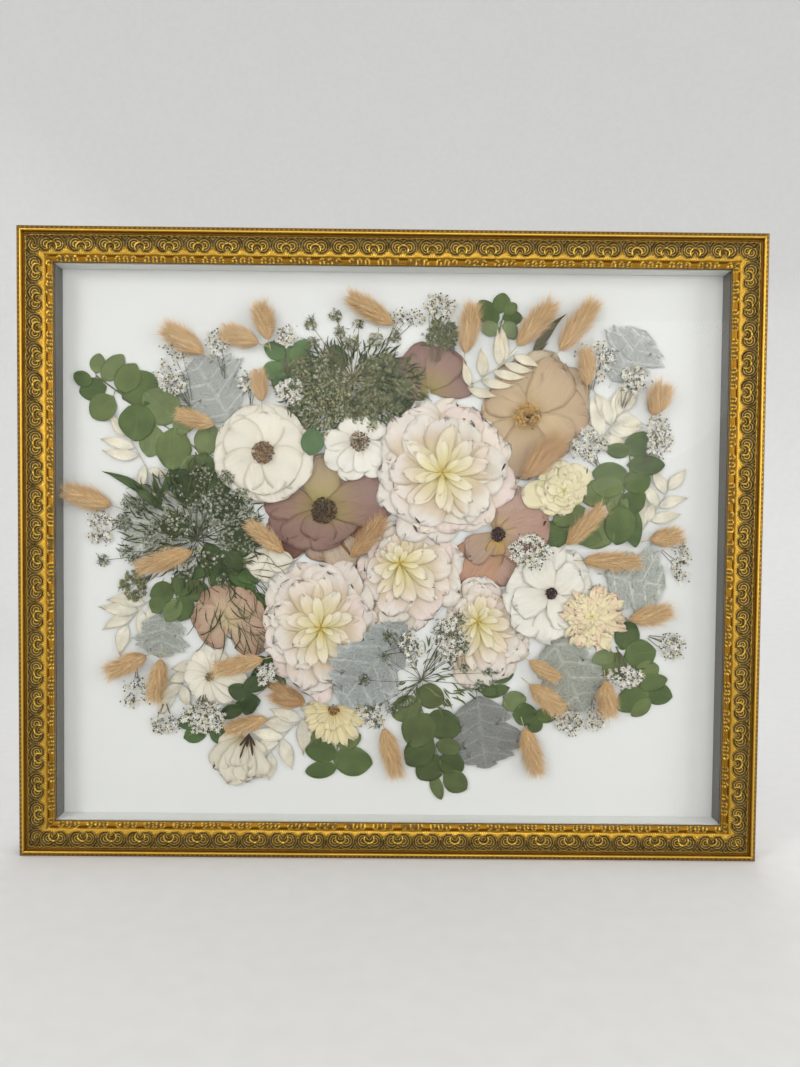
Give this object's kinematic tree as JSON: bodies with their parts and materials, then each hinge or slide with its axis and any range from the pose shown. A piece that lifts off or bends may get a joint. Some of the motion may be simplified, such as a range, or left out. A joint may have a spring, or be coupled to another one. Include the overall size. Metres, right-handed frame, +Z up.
{
  "type": "pressed flower frame",
  "caption": "Ornate gilded rectangular frame with glass and spacers over a white board of pressed flowers, leaves and grass tails, to stand upright or hang on a wall.",
  "frame": {"origin": "middle of the footprint of the whole object, on the surface that the bottom rail stands on", "axes": "+X to the right along the frame's width seen from the front, +Y out of the back towards the wall, +Z up; the glass faces -Y"},
  "size_m": [0.6604, 0.04, 0.5588],
  "materials": {
    "gilded_moulding": "water-gilt wood and composition ornament, gold with an umber patina in the recesses",
    "picture_glass": "clear 2 mm picture glass",
    "spacer": "pale grey laminated spacer strip",
    "mount_board": "white foam-cored mount board",
    "hardboard": "brown hardboard, smooth face out",
    "zinc_steel": "bright zinc plate",
    "felt_pad": "dark soft wall bumper",
    "petal_blush": "dried blush-cream petal with a yellow throat",
    "petal_cream": "dried white petal",
    "petal_mauve": "dried dusty mauve petal",
    "petal_tan": "dried tan petal",
    "petal_rust": "dried rust-pink petal",
    "petal_rose": "dried rose-pink petal",
    "petal_yellow": "dried pale yellow petal",
    "leaf_green": "pressed green leaf",
    "leaf_grey": "pressed grey felted leaf",
    "leaf_cream": "bleached cream leaf",
    "umbel_green": "pressed olive umbel",
    "tail_tan": "dried tan grass tail"
  },
  "bodies": {
    "root": {"moulding_top": "gilded_moulding", "moulding_bottom": "gilded_moulding", "moulding_left": "gilded_moulding", "moulding_right": "gilded_moulding", "glass_pane": "picture_glass", "spacer_top": "spacer", "spacer_bottom": "spacer", "spacer_left": "spacer", "spacer_right": "spacer", "mount_board": "mount_board", "back_board": "hardboard", "hanger_left": "zinc_steel", "hanger_right": "zinc_steel", "bumper_left": "felt_pad", "bumper_right": "felt_pad", "dahlia_large": "petal_blush", "dahlia_left": "petal_blush", "dahlia_middle": "petal_blush", "dahlia_right": "petal_blush", "anemone_white": "petal_cream", "cosmos_cream": "petal_cream", "ranunculus_cream": "petal_cream", "rose_white_left": "petal_cream", "rose_white_low": "petal_cream", "rosebud_cream": "petal_cream", "poppy_mauve_left": "petal_mauve", "poppy_mauve_top": "petal_mauve", "poppy_tan": "petal_tan", "poppy_rust": "petal_rust", "poppy_pink_left": "petal_rose", "scabiosa_pink": "petal_yellow", "zinnia_yellow": "petal_yellow", "eucalyptus_bottom": "leaf_green", "eucalyptus_bottom_left": "leaf_green", "eucalyptus_low_left": "leaf_green", "eucalyptus_low_middle": "leaf_green", "eucalyptus_lower_right": "leaf_green", "eucalyptus_right": "leaf_green", "eucalyptus_top": "leaf_green", "eucalyptus_top_left": "leaf_green", "dusty_miller_bottom": "leaf_grey", "dusty_miller_centre": "leaf_grey", "dusty_miller_left": "leaf_grey", "dusty_miller_low_left": "leaf_grey", "dusty_miller_lower_right": "leaf_grey", "dusty_miller_right": "leaf_grey", "dusty_miller_top_left": "leaf_grey", "dusty_miller_top_right": "leaf_grey", "ruscus_bottom": "leaf_cream", "ruscus_left": "leaf_cream", "ruscus_right": "leaf_cream", "ruscus_top": "leaf_cream", "ruscus_upper_left": "leaf_cream", "ruscus_upper_right": "leaf_cream", "queen_annes_lace_centre": "umbel_green", "queen_annes_lace_left": "umbel_green", "queen_annes_lace_top": "umbel_green", "bunny_tail_left": "tail_tan", "bunny_tail_low_right": "tail_tan", "bunny_tail_right": "tail_tan"}
  },
  "joints": []
}
